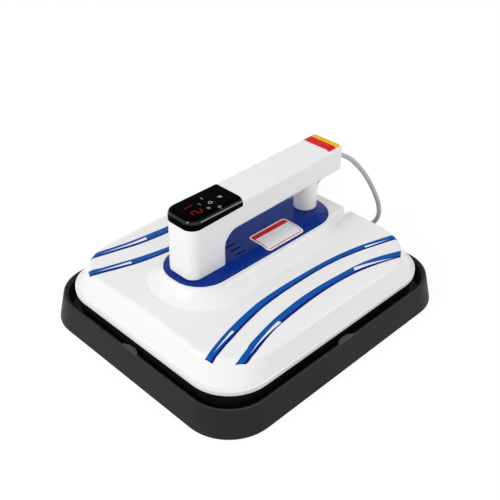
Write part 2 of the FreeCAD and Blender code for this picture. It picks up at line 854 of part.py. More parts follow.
def cap_zone(rear, drop=0.0):
    """Everything ahead of rear and above the control cap's lower edge, which climbs towards the rear."""
    slope = cap_edge_rise / (cap_rear - handle_front)
    low = lambda y: cap_bottom - drop + slope * (y - handle_front)
    corners = [vec(-far, -far, low(-far)), vec(-far, rear, low(rear)), vec(-far, rear, far), vec(-far, -far, far)]
    return Part.Face(Part.makePolygon(corners + corners[:1])).extrude(vec(2 * far, 0, 0))


def make_handle_body():
    shell = handle_solid(0.0).cut(handle_solid(handle_wall))
    shell = shell.cut([cap_zone(cap_rear), box(-far, far, cap_rear, far, cover_bottom, far)])
    bosses = [pillar(x, y, column_boss, deck_top, deck_top + screw_bite + 2 * bore_spare) for x, y in column_screws]
    inner = handle_solid(handle_wall / 2)
    bosses = [b.common(inner) for b in bosses]
    bores = [bore(x, y, deck_top, deck_top + screw_bite + bore_spare) for x, y in column_screws]
    for side in (-1, 1):
        bores.append(bore(side * post_screw_x, post_y, deck_top, far))
        bores.append(pillar(side * post_screw_x, post_y, screw_head + slide_fit, beam_floor(post_y), cover_bottom))
        bores.append(bore(side * clamp_screw_x, clamp_y, lead_height - clamp_bite - bore_spare, cover_bottom))
    bores.append(pillar(0, post_y, post_bore, deck_top + arch_radius, beam_floor(post_y) + handle_wall))
    bores.append(ribbon_window(deck_top, deck_top + handle_wall))
    neck = Part.makeCylinder(relief_neck + slide_fit, 4 * handle_wall,
                             vec(0, handle_rear - 2 * handle_wall, lead_height), vec(0, 1, 0))
    bed = clamp_bed().cut(lead_gap())
    return shell.fuse(bosses + [bed]).cut(bores + [neck]).removeSplitter()


def inner_tabs(y0, y1, z, grow=0.0):
    """Locating tabs of a cover, just inside the handle's side walls, from its roof to below the edge at z."""
    outer = handle_half_x - handle_wall - slide_fit + grow
    inner = outer - tab_thickness - 2 * grow
    z0, z1 = z - tab_length, top_at(y0) - handle_wall / 2
    return [box(inner, outer, y0, y1, z0, z1), box(-outer, -inner, y0, y1, z0, z1)]


def make_handle_cover():
    shell = handle_solid(0.0).cut(handle_solid(handle_wall))
    lid = shell.common(box(-far, far, cap_rear + slide_fit, far, cover_bottom, far))
    tabs = []
    for y in cover_tab_rows:
        tabs += inner_tabs(y - tab_half, y + tab_half, cover_bottom)
    return lid.fuse(tabs).removeSplitter()


def cap_tabs(grow):
    """The control cap's locating tabs; grow widens them into the board's slots."""
    middle, half = (handle_front + cap_rear) / 2, tab_half + grow
    return inner_tabs(middle - half, middle + half, cap_bottom, grow)


def make_control_cap():
    outer = handle_solid(-cap_proud).common(cap_zone(cap_rear))
    inner = handle_solid(cap_wall - cap_proud).common(cap_zone(cap_rear - cap_wall, cap_wall))
    return outer.cut(inner).fuse(cap_tabs(0.0)).removeSplitter()


def make_rear_post():
    post = pillar(0, post_y, post_radius, deck_top, deck_top + beam_under_rear + handle_wall)
    post = post.cut([handle_solid(0.0), pillar(0, post_y, post_bore, deck_top, far)])
    post = fillet(post, post_foot, level(deck_top))
    low = [bore(side * post_screw_x, post_y, deck_top, deck_top + screw_bite + bore_spare) for side in (-1, 1)]
    floor = beam_floor(post_y)
    high = [bore(side * post_screw_x, post_y, floor - handle_wall - beam_bite - bore_spare, far) for side in (-1, 1)]
    return post.cut(low + high)


def make_deck_screws():
    return [screw(x, y, seat_under, deck_top - seat_under + screw_bite) for x, y in deck_screws_at()]


def make_beam_screws():
    return [screw(side * post_screw_x, post_y, beam_floor(post_y), handle_wall + beam_bite, up=False)
            for side in (-1, 1)]


# ---------------------------------------------------------------- electronics




def make_display_board():
    board = outline(panel_board_half_x, handle_front + panel_board_margin, cap_rear - panel_board_margin,
                    panel_board_corner, board_thickness, cap_bottom)
    return slab(board, board_thickness).cut(cap_tabs(slide_fit))


def make_digit_display():
    x, y, z = digit_size
    base = cap_bottom + board_thickness
    return box(-x / 2, x / 2, digit_y - y / 2, digit_y + y / 2, base, base + z)


def make_touch_springs():
    base, top = cap_bottom + board_thickness, handle_top + cap_proud - cap_wall
    springs = []
    for x, y in touch_spots:
        outer = pillar(x, y, touch_radius, base, top)
        springs.append(outer.cut(pillar(x, y, touch_radius - touch_wall, base + touch_wall, top)))
    return springs


def make_buzzer():
    can = pillar(0, buzzer_y, buzzer_radius, cap_bottom - buzzer_height, cap_bottom)
    low = cap_bottom - buzzer_height
    return can.cut(pillar(0, buzzer_y, buzzer_port_radius, low, low + buzzer_port_depth))


def make_power_board():
    board = box(-power_half_x, power_half_x, power_front, power_rear, power_bottom, power_top)
    return board.cut([bore(x, y, power_bottom, power_top) for x, y in power_spots()])


def make_board_screws():
    return [screw(x, y, power_bottom, board_thickness + board_bite) for x, y in power_spots()]


def standing_box(size, spot, z):
    x, y = spot
    return box(x - size[0] / 2, x + size[0] / 2, y - size[1] / 2, y + size[1] / 2, z, z + size[2])


def make_power_relay():
    relay = standing_box(relay_size, relay_spot, power_top)
    return fillet(relay, relay_edge, level(power_top + relay_size[2]))


def make_triac_heatsink():
    base = standing_box(sink_size, sink_spot, power_top)
    fins = []
    for n in range(sink_fins):
        share = n / (sink_fins - 1) - 0.5
        x = sink_spot[0] + share * (sink_size[0] - fin_thickness)
        fin = (fin_thickness, sink_size[1], fin_height)
        fins.append(standing_box(fin, (x, sink_spot[1]), power_top + sink_size[2]))
    return base.fuse(fins).removeSplitter()


def make_terminal_block():
    block = standing_box(terminal_size, (0, terminal_y), power_top)
    wells = [pillar(x, terminal_y, terminal_well_radius, terminal_mid + terminal_well_rise, far)
             for x in (-heater_lead_x, 0, heater_lead_x)]
    return block.cut(wells)


def make_ribbon_socket():
    return standing_box(socket_size, (0, socket_y), power_top)


def make_display_ribbon():
    """The flat lead from the display board down the column to its socket."""
    end_z = power_top + socket_size[2]
    points = [vec(0, ribbon_y, cap_bottom), vec(0, ribbon_y, seat_under - ribbon_drop),
              vec(0, socket_y, end_z + ribbon_plug_rise), vec(0, socket_y, end_z)]
    h, t = ribbon_width / 2, ribbon_thickness / 2
    corners = [vec(x, ribbon_y + y, cap_bottom) for x, y in ((-h, -t), (h, -t), (h, t), (-h, t), (-h, -t))]
    profile = Part.makePolygon(corners)
    return Part.makePolygon(points).makePipeShell([profile], True, False, 1)


def make_heater_leads():
    """The two leads from the element's terminals to the terminal block."""
    leads = []
    for x, y in terminal_spots():
        side = 1 if x > 0 else -1
        start = vec(x, y, plate_top + terminal_top)
        points = [start, vec(x, y, terminal_mid), vec(side * heater_lead_x, y, terminal_mid),
                  vec(side * heater_lead_x, terminal_y + terminal_size[1] / 2, terminal_mid)]
        leads.append(tube(tangent_path(points, [heater_lead_bend] * 2), heater_lead_radius))
    return leads


# ---------------------------------------------------------------- mains lead


def make_strain_relief():
    """A flanged neck through the handle's end wall and a tapered boot that points down."""
    root = vec(0, handle_rear, lead_height)
    inner = handle_rear - handle_wall
    flange = Part.makeCylinder(relief_flange, relief_flange_depth,
                               vec(0, inner - relief_flange_depth, lead_height), vec(0, 1, 0))
    neck = Part.makeCylinder(relief_neck, handle_wall, vec(0, inner, lead_height), vec(0, 1, 0))
    way = relief_way()
    boot = Part.makeCone(relief_root, relief_tip, relief_length, root, way)
    ball = Part.makeSphere(relief_root, root)
    ball = ball.common(box(-far, far, handle_rear, far, 0, far))
    boot = boot.common(box(-far, far, handle_rear, far, 0, far))
    return flange.fuse([neck, boot, ball]).removeSplitter()


def make_inner_lead():
    """The lead inside the handle: back from the strain relief, down the post to the terminals."""
    points = [vec(0, handle_rear - handle_wall - relief_flange_depth, lead_height), vec(0, post_y, lead_height),
              vec(0, post_y, terminal_mid), vec(0, terminal_y + terminal_size[1] / 2, terminal_mid)]
    return tube(tangent_path(points, [lead_bend] * 2), cord_radius)


def make_cord_clamp():
    y0, y1 = clamp_y - clamp_length / 2, clamp_y + clamp_length / 2
    bar = box(-clamp_half_x, clamp_half_x, y0, y1, lead_height, lead_height + clamp_cap)
    bar = fillet(bar, clamp_edge, lambda b: b.YLength > 1 and b.XLength < 0.1 and b.ZMin > lead_height + 1)
    holes = [bore(side * clamp_screw_x, clamp_y, lead_height, far) for side in (-1, 1)]
    return bar.cut([lead_gap()] + holes)


def make_clamp_screws():
    z = lead_height + clamp_cap
    return [screw(side * clamp_screw_x, clamp_y, z, clamp_cap + clamp_bite, up=False) for side in (-1, 1)]


def coil_stub_line():
    """Where the outer turn leaves the coil, and the direction in which it arrives."""
    a = math.radians(coil_entry)
    r = coil_outer - cord_radius
    touch = vec(coil_x + r * math.cos(a), coil_y + r * math.sin(a), coil_lift + cord_radius)
    return touch, vec(-math.sin(a), math.cos(a), 0)


def make_cord_tube():
    start = vec(0, handle_rear, lead_height) + relief_way() * relief_length
    touch, back = coil_stub_line()
    end = touch + back * coil_stub
    points = [start, start + relief_way() * exit_run] + [vec(*p) for p in cord_route]
    points += [end + back * coil_run, end]
    radii = []
    for before, corner, after in zip(points, points[1:], points[2:]):
        a, b = before - corner, after - corner
        half_turn = (math.pi - a.getAngle(b)) / 2
        radii.append(bend_share * min(a.Length, b.Length) / math.tan(half_turn))
    path = tangent_path(points, radii)
    cord = tube(path, cord_radius)
    share = cord.Volume / (math.pi * cord_radius ** 2 * path.Length)
    runs = [round((b - a).Length, 1) for a, b in zip(points, points[1:])]
    print("cord tube: length", round(path.Length, 1), "volume over section times length", round(share, 4))
    print("runs", runs, "radii", [round(r, 1) for r in radii])
    return cord


def coil_ring(x, y):
    top = coil_lift + coil_height
    return pillar(x, y, coil_outer, coil_lift, top).cut(pillar(x, y, coil_inner, coil_lift, top))


def make_cord_coil():
    touch, back = coil_stub_line()
    stub = Part.makeCylinder(cord_radius, coil_stub, touch, back)
    body = fillet(coil_ring(coil_x, coil_y), coil_edge, lambda b: b.ZLength < 0.01)
    return body.fuse(stub).removeSplitter()


def make_cord_tie():
    """A strap round the coil's turns."""
    t = tie_sheet
    y = tie_width / 2
    strap = box(coil_inner - t, coil_outer + t, -y, y, 0, coil_lift + coil_height + t)
    strap = strap.cut(coil_ring(0, 0))
    strap.rotate(vec(0, 0, 0), vec(0, 0, 1), tie_angle)
    strap.translate(vec(coil_x, coil_y, 0))
    return strap


def laid_on_coil(shape):
    """Moves a shape made about the origin to the plug's place on top of the coil."""
    a, r = math.radians(plug_bearing), (coil_outer + coil_inner) / 2
    placed = shape.rotated(vec(0, 0, 0), vec(0, 0, 1), plug_turn)
    return placed.translated(vec(coil_x + r * math.cos(a), coil_y + r * math.sin(a), coil_lift + coil_height))


def make_plug_body():
    sx, sy, sz = plug_size
    body = box(-sx / 2, sx / 2, -sy / 2, sy / 2, 0, sz)
    return laid_on_coil(fillet(body, plug_fillet, lambda b: b.YLength > sy / 2 or b.ZLength > sz / 2))


def make_plug_pins():
    sx, sy, sz = plug_size
    t, length, h = blade_size
    middle, face = sz / 2, sy / 2
    pins = []
    for side in (-1, 1):
        x, z = side * blade_pitch / 2, middle + blade_rise
        pins.append(box(x - t / 2, x + t / 2, face, face + length, z - h / 2, z + h / 2))
    pins.append(Part.makeCylinder(earth_radius, earth_length, vec(0, face, middle - earth_drop), vec(0, 1, 0)))
    return [laid_on_coil(pin) for pin in pins]


nodes = {
    "base_tray": make_base_tray,
    "base_feet": make_base_feet,
    "tray_mat": make_tray_mat,
    "heating_plate": make_heating_plate,
    "heating_element": make_heating_element,
    "plate_studs": make_plate_studs,
    "thermal_cutout": make_thermal_cutout,
    "temperature_probe": make_temperature_probe,
    "insulation_blanket": make_insulation_blanket,
    "heat_shield": make_heat_shield,
    "lower_frame": make_lower_frame,
    "housing_screws": make_housing_screws,
    "upper_housing": make_upper_housing,
    "deck_cover": make_deck_cover,
    "deck_screws": make_deck_screws,
    "handle_body": make_handle_body,
    "handle_cover": make_handle_cover,
    "control_cap": make_control_cap,
    "rear_post": make_rear_post,
    "beam_screws": make_beam_screws,
    "display_board": make_display_board,
    "digit_display": make_digit_display,
    "touch_springs": make_touch_springs,
    "buzzer": make_buzzer,
    "display_ribbon": make_display_ribbon,
    "power_board": make_power_board,
    "board_screws": make_board_screws,
    "power_relay": make_power_relay,
    "triac_heatsink": make_triac_heatsink,
    "terminal_block": make_terminal_block,
    "ribbon_socket": make_ribbon_socket,
    "heater_leads": make_heater_leads,
    "inner_lead": make_inner_lead,
    "cord_clamp": make_cord_clamp,
    "clamp_screws": make_clamp_screws,
    "strain_relief": make_strain_relief,
    "cord_tube": make_cord_tube,
    "cord_coil": make_cord_coil,
    "cord_tie": make_cord_tie,
    "plug_body": make_plug_body,
    "plug_pins": make_plug_pins,
}

for name, make in nodes.items():
    shape = make()
    if isinstance(shape, list):
        shape = Part.makeCompound(shape)
    print(name, "solids", len(shape.Solids), "volume", round(shape.Volume), "valid", shape.isValid())
    shape.exportStep("parts/" + name + ".step")
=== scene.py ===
import json
import math
import bmesh
import bpy
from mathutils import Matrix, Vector
from mathutils.bvhtree import BVHTree


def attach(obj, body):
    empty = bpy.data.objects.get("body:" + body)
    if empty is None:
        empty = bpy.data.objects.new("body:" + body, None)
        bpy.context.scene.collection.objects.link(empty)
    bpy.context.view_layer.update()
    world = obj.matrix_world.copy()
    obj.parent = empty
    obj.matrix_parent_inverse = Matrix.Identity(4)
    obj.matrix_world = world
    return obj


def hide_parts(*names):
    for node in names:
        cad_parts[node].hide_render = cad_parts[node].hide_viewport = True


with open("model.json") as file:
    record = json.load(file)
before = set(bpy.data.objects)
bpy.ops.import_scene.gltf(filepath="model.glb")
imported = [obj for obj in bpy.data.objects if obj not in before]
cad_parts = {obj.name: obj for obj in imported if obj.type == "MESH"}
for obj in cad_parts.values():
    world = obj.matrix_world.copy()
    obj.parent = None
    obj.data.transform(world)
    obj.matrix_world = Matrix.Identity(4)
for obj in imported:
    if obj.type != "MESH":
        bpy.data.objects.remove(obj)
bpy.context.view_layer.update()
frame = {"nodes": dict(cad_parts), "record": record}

nodes = frame["nodes"]
mm = 0.001
scene = bpy.context.scene


def addNode(tree, kind, sockets=None, **settings):
    node = tree.nodes.new(kind)
    for key, value in settings.items():
        setattr(node, key, value)
    for key, value in (sockets or {}).items():
        if isinstance(value, bpy.types.NodeSocket):
            tree.links.new(value, node.inputs[key])
        else:
            node.inputs[key].default_value = value
    return node


def mathNode(tree, operation, a, b):
    return addNode(tree, "ShaderNodeMath", {0: a, 1: b}, operation=operation).outputs[0]


def vectorMath(tree, operation, sockets):
    return addNode(tree, "ShaderNodeVectorMath", sockets, operation=operation).outputs[0]


def mapRange(tree, value, fromLow, fromHigh, toLow, toHigh):
    return addNode(tree, "ShaderNodeMapRange", {"Value": value, "From Min": fromLow, "From Max": fromHigh,
                                                "To Min": toLow, "To Max": toHigh}).outputs[0]


# how the mottling and the grain of every finish are drawn
texture = {
    "cloudScale": 22.0,
    "cloudDetail": 3.0,
    "cloudLow": 0.3,
    "cloudHigh": 0.7,
    "grainDetail": 2.0,
    "grainDepth": 0.0004,
    "smoother": 0.9,  # share of the roughness where the cloud is low, and where it is high
    "rougher": 1.12,
}


def makeFinishGroup():
    # mottled colour, uneven roughness and a fine moulded grain
    tree = bpy.data.node_groups.new("surfaceFinish", "ShaderNodeTree")
    face = tree.interface
    for name, kind in (("Color", "Color"), ("Roughness", "Float"), ("Mottle", "Float"), ("Grain", "Float"),
                       ("Bump", "Float"), ("Stretch", "Vector")):
        face.new_socket(name, in_out="INPUT", socket_type="NodeSocket" + kind)
    for name, kind in (("Color", "Color"), ("Roughness", "Float"), ("Normal", "Vector")):
        face.new_socket(name, in_out="OUTPUT", socket_type="NodeSocket" + kind)
    given = addNode(tree, "NodeGroupInput").outputs
    place = addNode(tree, "ShaderNodeTexCoord").outputs["Object"]
    stretched = vectorMath(tree, "MULTIPLY", {0: place, 1: given["Stretch"]})
    cloud = addNode(tree, "ShaderNodeTexNoise", {"Vector": stretched, "Scale": texture["cloudScale"],
                                                 "Detail": texture["cloudDetail"]}).outputs["Fac"]
    grain = addNode(tree, "ShaderNodeTexNoise", {"Vector": stretched, "Scale": given["Grain"],
                                                 "Detail": texture["grainDetail"]}).outputs["Fac"]
    low = mathNode(tree, "SUBTRACT", 1.0, given["Mottle"])
    high = mathNode(tree, "ADD", 1.0, given["Mottle"])
    cloudRange = texture["cloudLow"], texture["cloudHigh"]
    shade = mapRange(tree, cloud, *cloudRange, low, high)
    colour = vectorMath(tree, "SCALE", {0: given["Color"], "Scale": shade})
    worn = mapRange(tree, cloud, *cloudRange, texture["smoother"], texture["rougher"])
    rough = mathNode(tree, "MULTIPLY", given["Roughness"], worn)
    bump = addNode(tree, "ShaderNodeBump", {"Height": grain, "Strength": given["Bump"],
                                            "Distance": texture["grainDepth"]}).outputs[0]
    addNode(tree, "NodeGroupOutput", {"Color": colour, "Roughness": rough, "Normal": bump})
    return tree


finishGroup = makeFinishGroup()


def makeLeanGroup():
    # 1 where the lean of the surface, the z of its normal, is between low and high, softly stepped at both
    tree = bpy.data.node_groups.new("leanShare", "ShaderNodeTree")
    for name in ("Low", "High", "Soft"):
        tree.interface.new_socket(name, in_out="INPUT", socket_type="NodeSocketFloat")
    tree.interface.new_socket("Share", in_out="OUTPUT", socket_type="NodeSocketFloat")
    given = addNode(tree, "NodeGroupInput").outputs
    normal = addNode(tree, "ShaderNodeNewGeometry").outputs["Normal"]
    lean = addNode(tree, "ShaderNodeSeparateXYZ", {0: normal}).outputs["Z"]
    steps = []
    for edge, first in (("Low", 0.0), ("High", 1.0)):
        start = mathNode(tree, "SUBTRACT", given[edge], given["Soft"])
        end = mathNode(tree, "ADD", given[edge], given["Soft"])
        steps.append(mapRange(tree, lean, start, end, first, 1 - first))
    addNode(tree, "NodeGroupOutput", {"Share": mathNode(tree, "MULTIPLY", *steps)})
    return tree


leanGroup = makeLeanGroup()
coatRoughness = 0.04


def makeMaterial(name, colour, roughness=0.4, metallic=0.0, grain=1400.0, bump=0.1, mottle=0.02,
                 stretch=(1, 1, 1), glow=0.0, ior=1.5, lean=None):
    material = bpy.data.materials.new(name)
    material.use_nodes = True
    tree = material.node_tree
    shader = tree.nodes["Principled BSDF"]
    finish = addNode(tree, "ShaderNodeGroup", node_tree=finishGroup)
    for key, value in (("Color", (*colour, 1)), ("Roughness", roughness), ("Mottle", mottle),
                       ("Grain", grain), ("Bump", bump), ("Stretch", stretch)):
        finish.inputs[key].default_value = value
    tree.links.new(finish.outputs["Color"], shader.inputs["Base Color"])
    tree.links.new(finish.outputs["Roughness"], shader.inputs["Roughness"])
    tree.links.new(finish.outputs["Normal"], shader.inputs["Normal"])
    shader.inputs["Metallic"].default_value = metallic
    shader.inputs["IOR"].default_value = ior
    if lean:
        sockets = {"Low": lean["low"], "High": lean["high"], "Soft": lean["soft"]}
        share = addNode(tree, "ShaderNodeGroup", sockets, node_tree=leanGroup).outputs["Share"]
        if "coat" in lean:  # what leans so is glossier
            tree.links.new(mathNode(tree, "MULTIPLY", share, lean["coat"]), shader.inputs["Coat Weight"])
            shader.inputs["Coat Roughness"].default_value = coatRoughness
        if "lighter" in lean:  # what leans so gets a painted sheen, its colour painted lighter
            sheenGain = mapRange(tree, share, 0.0, 1.0, 1.0, lean["lighter"])
            paintedSheenColour = vectorMath(tree, "SCALE", {0: finish.outputs["Color"], "Scale": sheenGain})
            tree.links.new(paintedSheenColour, shader.inputs["Base Color"])
    if glow:
        tree.links.new(finish.outputs["Color"], shader.inputs["Emission Color"])
        shader.inputs["Emission Strength"].default_value = glow
    return material


finishes = {
    # the tray's upward-facing flats get a painted sheen: their colour is painted 2.6 times lighter
    "tray_black": dict(colour=(0.024, 0.024, 0.0245), roughness=0.40, grain=2600, bump=0.35, mottle=0.08,
                       ior=1.12, lean={"low": 0.975, "high": 1.2, "soft": 0.015, "lighter": 2.6}),
    "frame_black": dict(colour=(0.008, 0.008, 0.009), roughness=0.42, grain=2600, bump=0.3, mottle=0.06,
                        ior=1.2),
    "foot_rubber": dict(colour=(0.03, 0.03, 0.03), roughness=0.8, grain=1800, bump=0.3, mottle=0.1),
    "mat_silicone": dict(colour=(0.16, 0.16, 0.17), roughness=0.75, grain=900, bump=0.5, mottle=0.12),
    "plate_aluminium": dict(colour=(0.72, 0.72, 0.73), roughness=0.3, metallic=1.0, grain=700, bump=0.15,
                            mottle=0.04, stretch=(1, 14, 1)),
    "element_steel": dict(colour=(0.42, 0.43, 0.42), roughness=0.45, metallic=1.0, grain=900, bump=0.2,
                          mottle=0.15),
    "fixing_steel": dict(colour=(0.66, 0.66, 0.67), roughness=0.28, metallic=1.0, grain=1500, bump=0.1,
                         mottle=0.05),
    "shield_steel": dict(colour=(0.62, 0.63, 0.64), roughness=0.35, metallic=1.0, grain=800, bump=0.15,
                         mottle=0.05, stretch=(12, 1, 1)),
    "blanket_fibre": dict(colour=(0.80, 0.78, 0.72), roughness=0.95, grain=500, bump=0.9, mottle=0.08,
                          stretch=(1, 1, 4)),
    "housing_white": dict(colour=(0.80, 0.80, 0.80), roughness=0.33, grain=1500, bump=0.05, mottle=0.008),
    "handle_white": dict(colour=(0.80, 0.80, 0.80), roughness=0.33, grain=1500, bump=0.05, mottle=0.008),
    # the post is the housing's white plastic painted lighter, painted light that brightens it in the shade
    # under the handle
    "post_grey": dict(colour=(0.85, 0.84, 0.82), roughness=0.35, grain=1500, bump=0.05, mottle=0.01),
    "deck_blue": dict(colour=(0.0003, 0.0245, 0.215), roughness=0.09, grain=300, bump=0.01, mottle=0.03,
                      ior=1.2),
    "cap_black": dict(colour=(0.0008, 0.0008, 0.0010), roughness=0.10, grain=300, bump=0.01, mottle=0.03,
                      ior=1.04, lean={"low": 0.3, "high": 0.62, "soft": 0.14, "coat": 0.9}),
    "cord_grey": dict(colour=(0.46, 0.46, 0.46), roughness=0.5, grain=1800, bump=0.12, mottle=0.03),
    "part_black": dict(colour=(0.03, 0.03, 0.03), roughness=0.5, grain=1800, bump=0.15, mottle=0.06),
    "part_green": dict(colour=(0.03, 0.20, 0.09), roughness=0.45, grain=1500, bump=0.1, mottle=0.05),
    "board_green": dict(colour=(0.01, 0.12, 0.05), roughness=0.3, grain=900, bump=0.1, mottle=0.08),
    "socket_white": dict(colour=(0.72, 0.70, 0.64), roughness=0.5, grain=1500, bump=0.1, mottle=0.03),
    "lead_grey": dict(colour=(0.35, 0.36, 0.38), roughness=0.5, grain=700, bump=0.3, mottle=0.04,
                      stretch=(8, 1, 1)),
    "lead_red": dict(colour=(0.45, 0.03, 0.02), roughness=0.5, grain=1500, bump=0.1, mottle=0.04),
    "pin_brass": dict(colour=(0.75, 0.60, 0.28), roughness=0.22, metallic=1.0, grain=1500, bump=0.08,
                      mottle=0.04),
    "print_blue": dict(colour=(0.002, 0.086, 0.38), roughness=0.25, grain=900, bump=0.02, mottle=0.05,
                       ior=1.12),
    "print_white": dict(colour=(0.82, 0.82, 0.82), roughness=0.35, grain=900, bump=0.02, mottle=0.01),
    "print_red": dict(colour=(0.66, 0.012, 0.014), roughness=0.35, grain=900, bump=0.02, mottle=0.03,
                      ior=1.12),
    "print_yellow": dict(colour=(0.84, 0.47, 0.015), roughness=0.35, grain=900, bump=0.02, mottle=0.03,
                         ior=1.12),
}
materials = {name: makeMaterial(name, **settings) for name, settings in finishes.items()}
edgeBlue = makeMaterial("edgeBlue", (0.0, 0.012, 0.18), roughness=0.25, grain=900, bump=0.02, mottle=0.05,
                        ior=1.12)
digitGlow = makeMaterial("digitGlow", (0.30, 0.004, 0.006), roughness=0.2, grain=900, bump=0.01, glow=0.3,
                         ior=1.1)
markGrey = makeMaterial("markGrey", (0.40, 0.40, 0.44), roughness=0.4, grain=900, bump=0.01, ior=1.2)


def dressNodes():
    for part in frame["record"]["subparts"]:
        slots = nodes[part["node"]].data.materials
        for n in range(len(slots)):
            slots[n] = materials[part["material_slot"]]


def finishPiece(piece, slot, material=None):
    piece.data.materials.append(material or materials[slot])
    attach(piece, "press")


# how finely the printed films follow the surface they lie on
film = {
    "spanPoints": 24,  # places worked out between two given edge points
    "length": 260,  # cells along a band
    "width": 8,  # cells across a band
    "lineWidth": 2,  # cells across a line, a wedge or a mark
    "wedgeLength": 24,
    "markLength": 24,
    "barLength": 8,
    "castHeight": 0.3,  # metres above the table from which a film drops
}


def evenLine(points):
    # a smooth line through the points, as places at even distances along it
    pts = [Vector(p) for p in points]
    pts = [pts[0] * 2 - pts[1]] + pts + [pts[-1] * 2 - pts[-2]]
    dense = []
    for a, b, c, d in zip(pts, pts[1:], pts[2:], pts[3:]):
        for n in range(film["spanPoints"]):
            t = n / film["spanPoints"]
            square, cube = a * 2 - b * 5 + c * 4 - d, b * 3 - a - c * 3 + d
            dense.append((b * 2 + (c - a) * t + square * t * t + cube * t ** 3) / 2)
    dense.append(pts[-2])
    reach = [0.0]
    for a, b in zip(dense, dense[1:]):
        reach.append(reach[-1] + (b - a).length)
    line = []
    k = 0
    for n in range(film["length"] + 1):
        want = reach[-1] * n / film["length"]
        while k < len(reach) - 2 and reach[k + 1] < want:
            k += 1
        line.append(dense[k].lerp(dense[k + 1], (want - reach[k]) / (reach[k + 1] - reach[k])))
    return line


surfaces = {}


def dropOnto(node, spot, lift):
    # the place so far above the node's upper surface, at a spot given in millimetres
    if node not in surfaces:
        surfaces[node] = BVHTree.FromObject(nodes[node], bpy.context.evaluated_depsgraph_get())
    start = Vector((spot[0] * mm, spot[1] * mm, film["castHeight"]))
    place, normal = surfaces[node].ray_cast(start, Vector((0, 0, -1)))[:2]
    return place + normal * lift * mm


def makeFilm(name, node, slot, patches, lift=0.12, thickness=0.1, material=None):
    # a printed film on a node's upper surface: each patch maps a grid's (u, v) to a place
    mesh = bmesh.new()
    for along, across, place in patches:
        grid = bmesh.ops.create_grid(mesh, x_segments=along, y_segments=across, size=0.5)["verts"]
        for vert in grid:
            vert.co = dropOnto(node, place(vert.co.x + 0.5, vert.co.y + 0.5), lift)
    bmesh.ops.recalc_face_normals(mesh, faces=mesh.faces)
    for face in mesh.faces:
        face.smooth = True
        if face.normal.z < 0:
            face.normal_flip()
    data = bpy.data.meshes.new(name)
    mesh.to_mesh(data)
    mesh.free()
    piece = bpy.data.objects.new(name, data)
    scene.collection.objects.link(piece)
    wall = piece.modifiers.new("filmWall", "SOLIDIFY")
    wall.thickness = thickness * mm
    wall.offset = 1
    finishPiece(piece, slot, material)


def bothWays(points):
    # the given points, then the same points mirrored behind y = 0
    return points + [(x, -y) for x, y in reversed(points) if y]


# the bands printed on the housing, as the points of each edge in millimetres from front to back
# a wedge is its tip (y, share of the width) and its square end (y, share, share)
bands = {
    "bandRightInner": {
        "left": [(93.1, -149.7), (93.7, -147.9), (92.9, -143.8), (90.8, -137.9), (88.8, -131.5),
                 (83.6, -112.5), (78.6, -88.8), (75.7, -71.3), (73.6, -54.4), (72.7, -23.3), (73.3, 7.5),
                 (74.3, 39.1), (77.0, 70.1), (81.7, 100.3), (88.4, 129.4), (93.4, 149.3)],
        "right": [(101.1, -147.3), (101.7, -144.7), (101.2, -141.6), (99.2, -134.1), (96.8, -125.9),
                  (94.0, -113.6), (90.4, -98.8), (86.8, -81.3), (83.2, -60.0), (81.1, -32.1), (80.5, -0.1),
                  (80.9, 31.7), (83.4, 63.0), (88.4, 92.8), (94.0, 117.0), (98.4, 135.5), (101.6, 147.6)],
        "wedges": [((-139.0, 0.45), (-106.5, 0.36, 0.66)), ((136.0, 0.66), (102.4, 0.42, 0.75))],
    },
    "bandRightOuter": {
        "left": [(117.9, -133.4), (118.2, -128.8), (116.3, -121.7), (113.4, -112.1), (110.9, -106.1),
                 (106.9, -88.1), (103.6, -70.5), (101.3, -53.4), (98.6, -19.9), (98.6, 11.8), (100.3, 41.2),
                 (102.9, 74.0), (108.9, 102.5), (115.2, 122.0), (117.6, 130.0)],
        "right": [(124.2, -124.8), (124.9, -121.3), (124.3, -117.0), (122.6, -109.0), (120.4, -101.6),
                  (115.4, -82.6), (112.3, -65.0), (109.4, -32.4), (107.9, 0.8), (108.4, 33.4), (111.3, 63.6),
                  (117.2, 92.3), (122.6, 112.5), (124.4, 119.8)],
        "wedges": [((-116.1, 0.62), (-62.0, 0.5, 0.9)), ((114.6, 0.85), (60.0, 0.16, 0.62))],
    },
    "bandLeftInner": {
        "left": bothWays([(-102.6, -145.4), (-98.6, -144.2), (-95.4, -138.0), (-93.0, -133.8),
                          (-85.1, -113.4), (-77.2, -91.3), (-69.2, -56.5), (-67.5, -20.0)]),
        "right": bothWays([(-93.5, -149.7), (-88.2, -148.0), (-85.9, -144.2), (-83.3, -137.7),
                           (-78.3, -126.6), (-68.3, -99.7), (-61.0, -63.2), (-59.5, -22.0)]),
        "wedges": [((-141.0, 0.5), (-106.0, 0.3, 0.68)), ((141.0, 0.5), (106.0, 0.3, 0.68))],
    },
    "bandLeftOuter": {
        "left": bothWays([(-124.4, -120.8), (-119.7, -105.5), (-112.7, -79.3), (-108.2, -52.3),
                          (-105.3, -28.2), (-104.4, 0.0)]),
        "right": bothWays([(-118.2, -131.6), (-113.4, -119.0), (-106.2, -98.1), (-99.0, -75.4),
                           (-93.3, -38.8), (-92.4, 0.0)]),
        "wedges": [((-116.0, 0.55), (-62.0, 0.3, 0.72)), ((116.0, 0.55), (62.0, 0.3, 0.72))],
    },
}
darkLine = 0.3  # share of a band's width that the darker line along its right edge takes
bluntTip = 0.03  # share of a wedge's full width that its tip keeps


def sampleLine(line, u):
    n = min(int(u * (len(line) - 1)), len(line) - 2)
    return line[n].lerp(line[n + 1], u * (len(line) - 1) - n)


def stripPatch(left, right, low, high):
    def place(u, v):
        return sampleLine(left, u).lerp(sampleLine(right, u), low + (high - low) * v)
    return place


